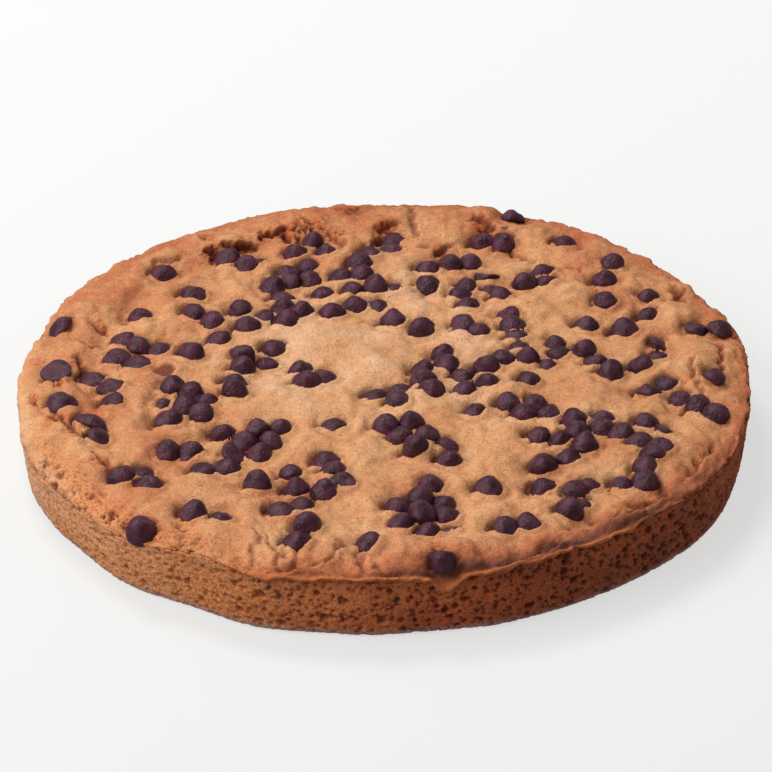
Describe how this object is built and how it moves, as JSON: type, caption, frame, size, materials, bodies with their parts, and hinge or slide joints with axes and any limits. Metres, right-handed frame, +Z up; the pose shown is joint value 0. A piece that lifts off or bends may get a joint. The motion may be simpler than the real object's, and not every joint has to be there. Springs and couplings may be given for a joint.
{
  "type": "chocolate chip cookie cake",
  "caption": "Whole round cookie cake, baked thick in a tin: a raised, rounded rim over a nearly straight wall, and a gently uneven top set with chocolate chips.",
  "frame": {"origin": "middle of the flat underside, where the cake rests", "axes": "+Z up through the thickness; +X to the right and -Y to the front as the cake is seen"},
  "size_m": [0.2809, 0.2799, 0.0363],
  "materials": {
    "dough": "dry baked crust, matt, golden tan",
    "chocolate": "dark chocolate, satin"
  },
  "bodies": {
    "root": {"cookie_cake": "dough"}
  },
  "joints": []
}
